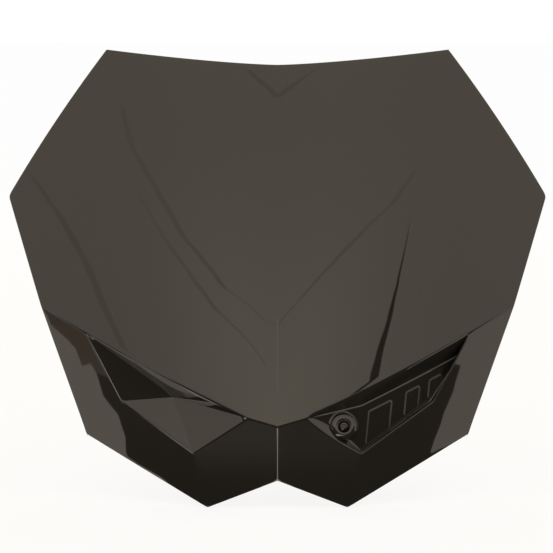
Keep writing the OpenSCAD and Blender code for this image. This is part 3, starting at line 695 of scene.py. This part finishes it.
def plate_rim():
    """Bead along the plate's upper edge, thinner at its ends."""
    line = on(plate_y, plate_top(span(plate_start[0], plate_end[0], rim_steps)))
    along = np.gradient(line, axis=0)
    angles = span(0, 2 * math.pi, rim_sides)[:-1]
    points, faces = [], []
    for k, (p, d) in enumerate(zip(line, along)):
        across = np.cross(d, plate_normal) / np.linalg.norm(d)
        r = rim_r * min(1.0, rim_end + min(k, rim_steps - k) / rim_ramp)
        points += [p + r * (math.cos(a) * across + math.sin(a) * plate_normal) for a in angles]
    for k in range(rim_steps):
        near, far = k * rim_sides, (k + 1) * rim_sides
        for i in range(rim_sides):
            j = (i + 1) % rim_sides
            faces.append([near + i, near + j, far + j, far + i])
    faces += [list(range(rim_sides))[::-1], list(range(rim_steps * rim_sides, len(points)))]
    return mesh_object("plate_rim", points, faces)


def rear_post(name, x, z, r, wall_front, root_r, tip):
    """Round post of radius r behind the wall at x, z, with a softened root and the profile tip at its end."""
    def profile(a):
        def root(rad):
            return float(wall_front(x + rad * math.cos(a), z + rad * math.sin(a))) + wall
        wide = r + root_r
        return (tip + arc((wide, root(wide) + root_r), root_r, root_r, 180, 270, root_steps)
                + [(wide, root(wide) - wall / 2), (0, root(0) - wall / 2)])
    return lathe(name, axis_at(x, 0, z), profile, post_sides)


def gussets(name, x, z, r, up, down, end, wall_front):
    """Upright and level webs that brace a post at x, z against the wall."""
    def back(px, pz):
        return float(wall_front(px, pz)) + wall / 2

    upright = [(x - rib_t / 2, back(x, pz), pz) for pz in span(z - down, z + up, rib_steps)]
    upright += [(x - rib_t / 2, end, z + r), (x - rib_t / 2, end, z - r)]
    level = [(px, back(px, z), z - rib_t / 2) for px in span(x - up, x + up, rib_steps)]
    level += [(x + r, end, z - rib_t / 2), (x - r, end, z - rib_t / 2)]
    upright, level = np.array(upright), np.array(level)
    return [block(name + "_upright", upright, upright + [rib_t, 0, 0], rib_edge),
            block(name + "_level", level, level + [0, 0, rib_t], rib_edge)]


def fixings():
    """The two screw pillars and the two pegs on the back."""
    made = []
    for side_name, s in (("left", -1), ("right", 1)):
        x = s * pillar_gap / 2
        hole, floor, lip = pilot_d / 2, pillar_y - pilot_deep, pillar_y - lip_round
        tip = [(0, floor), (hole, floor), (hole, lip), (hole + lip_round, pillar_y)]
        tip += arc((pillar_d / 2 - lip_round, lip), lip_round, lip_round, 90, 0, lip_steps)
        made.append(rear_post(f"pillar_{side_name}", x, pillar_z, pillar_d / 2, panel_y, pillar_fillet, tip))
        made += gussets(f"pillar_web_{side_name}", x, pillar_z, pillar_d / 2 - web_sunk, web_up, web_down,
                        pillar_y - web_short, panel_y)
        x = s * peg_gap / 2
        end = float(inner_y(x, peg_z)) + wall + peg_len
        root, shoulder = peg_root_d / 2, end - peg_free
        tip = [(0, end), (peg_d / 2 - peg_taper / 2, end), (peg_d / 2, end - peg_taper)]
        tip.append((peg_d / 2, shoulder))
        tip += arc((root - lip_round, shoulder - lip_round), lip_round, lip_round, 90, 0, lip_steps)
        made.append(rear_post(f"peg_{side_name}", x, peg_z, root, inner_y, peg_fillet, tip))
        made += gussets(f"peg_web_{side_name}", x, peg_z, root - web_sunk, peg_web, peg_web,
                        shoulder - peg_short, inner_y)
    return made


def socket_screw():
    """Button head with a hexagon socket and a threaded shank."""
    dome_r = (head_d**2 / 4 + head_h**2) / (2 * head_h)
    floor = head_sunk + socket_deep
    end = seat_deep + screw_len
    minor = screw_d / 2 - thread_depth * thread_pitch
    rings = int(screw_len / thread_pitch * thread_rings)
    side_angle = math.radians(360 / 6)

    def dome(r):
        return seat_deep - math.sqrt(dome_r**2 - r**2) + dome_r - head_h

    def profile(a):
        hex_r = socket_af / 2 / math.cos((a % side_angle) - side_angle / 2)
        brim = hex_r + head_edge
        head = [(0, floor), (hex_r, floor), (hex_r, dome(brim) + head_edge)]
        head += [(r, dome(r)) for r in span(brim, head_d / 2 - head_edge, head_steps)]
        head += [(head_d / 2, seat_deep - head_edge), (head_d / 2, seat_deep)]
        head.append((screw_d / 2 - thread_play, seat_deep))
        shank = []
        for y in span(seat_deep + thread_start, end, rings):
            phase = (y / thread_pitch - a / (2 * math.pi)) % 1
            crest = max(0.0, min(1.0, thread_flank * (0.5 - abs(phase - 0.5))))
            limit = mix(minor, screw_d / 2, min(1.0, (end - y) / thread_end))
            shank.append((min(mix(minor, screw_d / 2 - crest_cut, crest), limit), y))
        return head + shank + [(0, end)]
    return lathe("button_screw", boss_axis, profile, screw_sides)


def brass_insert():
    """Threaded insert with two grooves between its knurled bands."""
    start, r, edge = boss_len - insert_len, insert_d / 2, insert_edge
    inner = screw_d / 2 + thread_play
    groove = insert_len * groove_share
    groove_r = r - groove / 2

    def profile(a):
        phase = (a * knurl_teeth / (2 * math.pi)) % 1
        knurl = r - knurl_deep * abs(2 * phase - 1)
        outer = [(inner, start), (r - edge, start), (knurl, start + edge)]
        for share in groove_places:
            g = start + insert_len * share
            outer += [(knurl, g - groove / 2), (groove_r, g - groove / 2)]
            outer += [(groove_r, g + groove / 2), (knurl, g + groove / 2)]
        outer += [(knurl, boss_len - edge), (r - edge, boss_len)]
        return outer + [(inner + edge, boss_len), (inner, boss_len - edge)]
    return lathe("threaded_insert", boss_axis, profile, knurl_teeth * knurl_sides)


def material(name):
    """A new node material with its tree and its main shader."""
    mat = bpy.data.materials.new(name)
    mat.use_nodes = True
    return mat, mat.node_tree, mat.node_tree.nodes["Principled BSDF"]


def noise(tree, scale, detail):
    """Noise over the object's own coordinates, scale in waves per metre."""
    coords = tree.nodes.new("ShaderNodeTexCoord")
    texture = tree.nodes.new("ShaderNodeTexNoise")
    texture.inputs["Scale"].default_value = scale
    texture.inputs["Detail"].default_value = detail
    tree.links.new(coords.outputs["Object"], texture.inputs["Vector"])
    return texture


def ranged(tree, source, low, high):
    """A number from low to high that follows the source."""
    node = tree.nodes.new("ShaderNodeMapRange")
    node.inputs["To Min"].default_value, node.inputs["To Max"].default_value = low, high
    tree.links.new(source, node.inputs["Value"])
    return node.outputs["Result"]


def tinted(tree, source, dark, light):
    """A colour from dark to light that follows the source."""
    ramp = tree.nodes.new("ShaderNodeValToRGB")
    ramp.color_ramp.elements[0].color, ramp.color_ramp.elements[1].color = (*dark, 1), (*light, 1)
    tree.links.new(source, ramp.inputs["Fac"])
    return ramp.outputs["Color"]


def bumped(tree, shader, height, distance, strength=1.0):
    """Relief of the shader's surface, its distance in metres."""
    bump = tree.nodes.new("ShaderNodeBump")
    bump.inputs["Distance"].default_value, bump.inputs["Strength"].default_value = distance, strength
    tree.links.new(height, bump.inputs["Height"])
    tree.links.new(bump.outputs["Normal"], shader.inputs["Normal"])


def plastic(name, dark, light, rough, ripple, ripple_scale):
    """Black moulded plastic: faint clouding, uneven gloss and a slight ripple."""
    mat, tree, shader = material(name)
    cloud = noise(tree, cloud_scale, cloud_detail)
    tree.links.new(tinted(tree, cloud.outputs["Fac"], dark, light), shader.inputs["Base Color"])
    grain = noise(tree, grain_scale, grain_detail)
    tree.links.new(ranged(tree, grain.outputs["Fac"], *rough), shader.inputs["Roughness"])
    bumped(tree, shader, noise(tree, ripple_scale, ripple_detail).outputs["Fac"], ripple)
    shader.inputs["IOR"].default_value = plastic_ior
    return mat


def metal(name, dark, light, rough, scale):
    """Small metal part: spotted colour, uneven gloss and fine relief."""
    mat, tree, shader = material(name)
    spots = noise(tree, scale, spot_detail)
    tree.links.new(tinted(tree, spots.outputs["Fac"], dark, light), shader.inputs["Base Color"])
    scratches = noise(tree, scale * scratch_share, scratch_detail)
    tree.links.new(ranged(tree, scratches.outputs["Fac"], *rough), shader.inputs["Roughness"])
    bumped(tree, shader, spots.outputs["Fac"], metal_bump, metal_bump_strength)
    shader.inputs["Metallic"].default_value = 1.0
    return mat


def dress(obj, slot, node, *finishes):
    """Gives a piece its finishes and puts it in the place of the solid it stands for."""
    for mat in finishes:
        obj.data.materials.append(mat)
    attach(obj, "root")
    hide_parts(node)


def card(obj, cloth):
    """A sheet that only reflections see."""
    obj.data.materials.append(cloth)
    obj.visible_camera = obj.visible_diffuse = obj.visible_shadow = False
    return obj


def fan_cards(floor_z):
    """Light papers that lie on the floor, at the sides and in front."""
    cards = []
    for lift, group in ((side_lift, side_fans), (fan_lift, fans)):
        for name, (middle, half_angle, near, far, strength) in group.items():
            fan = swept(name, [fan_row(radius, half_angle - middle, half_angle + middle, floor_z + lift)
                               for radius in (near, far)])
            cards.append(card(fan, glow(name + " paper", fan_colour, strength)))
    return cards


def studio():
    """Pale floor, a soft warm tent above it, and the dark and light cards that the gloss mirrors."""
    scene = bpy.context.scene
    scene.view_settings.view_transform = "Standard"
    floor_z = min(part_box("cowl_shell")[0].z, cad_box[0].z)
    corners = ((-1, -1), (1, -1), (1, 1), (-1, 1))
    floor = plane_object("floor", [(x * floor_half, y * floor_half, floor_z) for x, y in corners])
    floor.data.materials.append(floor_material())
    tent = tent_object("tent", tent_radius, floor_z)
    tent.data.materials.append(tent_cloth())
    tent.visible_camera = False
    flag = card(flag_object("front flag", floor_z), flag_cloth(floor_z))
    wedge = strip_object("dark wedge", wedge_line, floor_z, seam_radius)
    cards = [flag, card(wedge, glow("wedge cloth", wedge_colour, 1.0))] + fan_cards(floor_z)
    near_row = [fan_point(r, -a, floor_z + patch_lift) for a, r in patch_edge]
    far_row = [fan_point(patch_far, -a, floor_z + patch_lift) for a, _ in patch_edge]
    patch = swept("brown patch", [near_row, far_row])
    cards.append(card(patch, glow("brown cloth", patch_colour, 1.0)))
    for name, (line, radius, strength) in bright_lines.items():
        bright = strip_object(name, line, floor_z, radius)
        cards.append(card(bright, glow(name + " paper", line_colour, strength)))
    for k, (line, strength) in enumerate(zip(seams, seam_glow), 1):
        seam = strip_object(f"tent seam {k}", line, floor_z, seam_radius)
        cards.append(card(seam, glow(f"seam cloth {k}", tent_colour, strength)))
    world = bpy.data.worlds.new("room")
    scene.world = world
    world.use_nodes = True
    world.node_tree.nodes["Background"].inputs["Color"].default_value = (1, 1, 1, 1)
    world.node_tree.nodes["Background"].inputs["Strength"].default_value = 1.0


def plane_object(name, corners):
    """One flat face."""
    mesh = bpy.data.meshes.new(name)
    mesh.from_pydata(corners, [], [list(range(len(corners)))])
    obj = bpy.data.objects.new(name, mesh)
    bpy.context.scene.collection.objects.link(obj)
    return obj


def swept(name, rows):
    """Open sheet through rows of points, in metres."""
    mesh = bpy.data.meshes.new(name)
    count = len(rows[0])
    faces = [[j * count + i, j * count + i + 1, (j + 1) * count + i + 1, (j + 1) * count + i]
             for j in range(len(rows) - 1) for i in range(count - 1)]
    mesh.from_pydata([p for row in rows for p in row], [], faces)
    mesh.polygons.foreach_set("use_smooth", [True] * len(faces))
    obj = bpy.data.objects.new(name, mesh)
    bpy.context.scene.collection.objects.link(obj)
    return obj


def direction(azimuth, elevation, radius, height):
    """Point seen from the object at that azimuth, 0 towards the camera and 90 to the right."""
    a, e = math.radians(azimuth), math.radians(elevation)
    level = radius * math.cos(e)
    return (level * math.sin(a), -level * math.cos(a), height + radius * math.sin(e))


def tent_object(name, radius, height):
    """Dome without its lowest part, where the room shows."""
    return swept(name, [[direction(a, e, radius, height) for a in span(-180, 180, tent_columns)]
                        for e in span(tent_low, 90, tent_rows)])


def fan_point(radius, angle, height):
    """Point about the flag's apex, at an angle of 0 towards the camera and 90 to the right."""
    a = math.radians(angle)
    return (radius * math.sin(a), flag_apex - radius * math.cos(a), height)


def fan_row(radius, left, right, height):
    """Arc about the flag's apex, from an angle on the left to one on the right."""
    return [fan_point(radius, a, height) for a in span(-left, right, fan_steps)]


def strip_object(name, line, height, radius):
    """Strip in front of the tent along a line of directions."""
    return swept(name, [[direction(a + side_step * w, e, radius, height) for side_step in (-1, 1)]
                        for a, e, w in line])


def flag_object(name, floor_z):
    """Dark cloth that only reflections see: it lies in front of the cowl and then stands up."""
    rows = [fan_row(*row, floor_z + flag_lift) for row in flag_rows]
    far = flag_rows[-1][0]
    return swept(name, rows + [fan_row(*flag_rows[-1], floor_z + far * tand(flag_high))])


def glow(name, colour, strength):
    """Material that only gives light."""
    mat = bpy.data.materials.new(name)
    mat.use_nodes = True
    nodes, links = mat.node_tree.nodes, mat.node_tree.links
    nodes.clear()
    light, out = nodes.new("ShaderNodeEmission"), nodes.new("ShaderNodeOutputMaterial")
    light.inputs["Color"].default_value, light.inputs["Strength"].default_value = (*colour, 1), strength
    links.new(light.outputs["Emission"], out.inputs["Surface"])
    return mat


def math_node(tree, operation, *values):
    """A math node whose inputs are numbers or other nodes' outputs."""
    node = tree.nodes.new("ShaderNodeMath")
    node.operation = operation
    for slot, value in zip(node.inputs, values):
        if isinstance(value, (int, float)):
            slot.default_value = value
        else:
            tree.links.new(value, slot)
    return node.outputs[0]


def stepped(tree, value, low, high, at_low, at_high):
    """Smooth change from one number to another while value goes from low to high."""
    node = tree.nodes.new("ShaderNodeMapRange")
    node.interpolation_type = "SMOOTHSTEP"
    for name, number in (("From Min", low), ("From Max", high), ("To Min", at_low), ("To Max", at_high)):
        node.inputs[name].default_value = number
    tree.links.new(value, node.inputs["Value"])
    return node.outputs["Result"]


def axes(tree):
    """The object's own x, y and z."""
    coords, parts = tree.nodes.new("ShaderNodeTexCoord"), tree.nodes.new("ShaderNodeSeparateXYZ")
    tree.links.new(coords.outputs["Object"], parts.inputs[0])
    return parts.outputs


def tent_cloth():
    """Warm cloth, brightest low in the middle."""
    mat = glow("tent cloth", tent_colour, 1.0)
    tree = mat.node_tree
    x, _, z = axes(tree)
    middle = stepped(tree, z, *tent_fall)
    share = stepped(tree, math_node(tree, "ABSOLUTE", x), *tent_spread)
    gain = math_node(tree, "MULTIPLY_ADD", share, math_node(tree, "SUBTRACT", middle, tent_side), tent_side)
    tree.links.new(gain, tree.nodes["Emission"].inputs["Strength"])
    return mat


def flag_cloth(floor_z):
    """Dark cloth that lightens with its distance on the floor, more so on the left."""
    mat = glow("flag cloth", flag_colour, flag_glow)
    tree = mat.node_tree
    x, y, z = axes(tree)
    deep = math_node(tree, "SUBTRACT", flag_apex, y)
    squares = [math_node(tree, "MULTIPLY", length, length) for length in (x, deep)]
    radius = math_node(tree, "SQRT", math_node(tree, "ADD", *squares))
    sine = math_node(tree, "DIVIDE", x, radius)
    far = stepped(tree, radius, *flag_far)
    left = stepped(tree, sine, *flag_left)
    inner = stepped(tree, math_node(tree, "ABSOLUTE", sine), *flag_sides)
    lying = math_node(tree, "LESS_THAN", z, floor_z + flag_top)
    share = math_node(tree, "MULTIPLY", math_node(tree, "MULTIPLY", left, inner), lying)
    gain = math_node(tree, "MULTIPLY_ADD", far, share, flag_glow)
    tree.links.new(gain, tree.nodes["Emission"].inputs["Strength"])
    return mat


def floor_material():
    """Matt white floor. The camera sees it mostly as plain white, with its shadows faint."""
    mat = bpy.data.materials.new("floor paper")
    mat.use_nodes = True
    nodes, links = mat.node_tree.nodes, mat.node_tree.links
    nodes.clear()
    out, path, share = (nodes.new("ShaderNode" + kind) for kind in ("OutputMaterial", "LightPath", "Math"))
    paper, white, both = (nodes.new("ShaderNode" + kind) for kind in ("BsdfDiffuse", "Emission", "MixShader"))
    paper.inputs["Color"].default_value = (floor_grey, floor_grey, floor_grey, 1)
    share.operation = "MULTIPLY"
    share.inputs[1].default_value = floor_white
    links.new(path.outputs["Is Camera Ray"], share.inputs[0])
    links.new(share.outputs[0], both.inputs["Fac"])
    links.new(paper.outputs[0], both.inputs[1])
    links.new(white.outputs[0], both.inputs[2])
    links.new(both.outputs[0], out.inputs["Surface"])
    return mat


def photo_camera():
    """The photograph's camera: a long lens, five degrees above the horizon."""
    data = bpy.data.cameras.new("camera")
    data.sensor_width = sensor
    data.lens = sensor * focal / picture
    data.shift_x, data.shift_y = shift_right / picture, shift_up / picture
    data.clip_start, data.clip_end = camera_near, camera_far
    camera = bpy.data.objects.new("camera", data)
    bpy.context.scene.collection.objects.link(camera)
    camera.location = camera_place
    look = Vector(camera_target) - camera.location
    camera.rotation_euler = look.to_track_quat("-Z", "Y").to_euler()
    bpy.context.scene.camera = camera


photo_camera()
studio()
gloss = plastic("gloss black plastic", (0.010, 0.0092, 0.0078), (0.014, 0.0128, 0.0108),
                rough=(0.012, 0.035), ripple=0.00002, ripple_scale=55.0)
# Satin rim bead: its base colour is lighter than the gloss, a painted highlight along the plate's upper edge.
painted_rim_highlight = plastic("satin rim painted highlight", (0.068, 0.064, 0.055), (0.082, 0.077, 0.067),
                rough=(0.28, 0.4), ripple=0.00001, ripple_scale=300.0)
# Pad sides: a lighter base colour, a painted highlight on the pads' outlines.
painted_pad_highlight = plastic("pad sides painted highlight", (0.05, 0.047, 0.041), (0.06, 0.056, 0.049),
               rough=(0.35, 0.5), ripple=0.00001, ripple_scale=300.0)
inside = plastic("grained black inside", (0.014, 0.0135, 0.0125), (0.021, 0.020, 0.0185),
                 rough=(0.34, 0.5), ripple=0.00004, ripple_scale=1400.0)
steel = metal("blackened steel", (0.055, 0.052, 0.046), (0.095, 0.09, 0.08),
              rough=(0.25, 0.4), scale=900.0)
brass = metal("insert brass", (0.58, 0.40, 0.15), (0.74, 0.53, 0.22),
              rough=(0.22, 0.36), scale=900.0)
dress(cowl_skin(), "shell_plastic", "cowl_shell", gloss, inside)
dress(screw_boss(), "shell_plastic", "cowl_shell", gloss)
for piece in [boss_sleeve(), *fixings()]:
    dress(piece, "shell_plastic", "cowl_shell", inside)
# Pads in gloss, their sides with the painted highlight.
for piece in plate_pads():
    dress(piece, "shell_plastic", "cowl_shell", gloss, painted_pad_highlight)
# The rim bead takes the lighter material, a painted highlight.
dress(plate_rim(), "shell_plastic", "cowl_shell", painted_rim_highlight)
dress(socket_screw(), "screw_steel", "pocket_screw", steel)
dress(brass_insert(), "insert_brass", "boss_insert", brass)
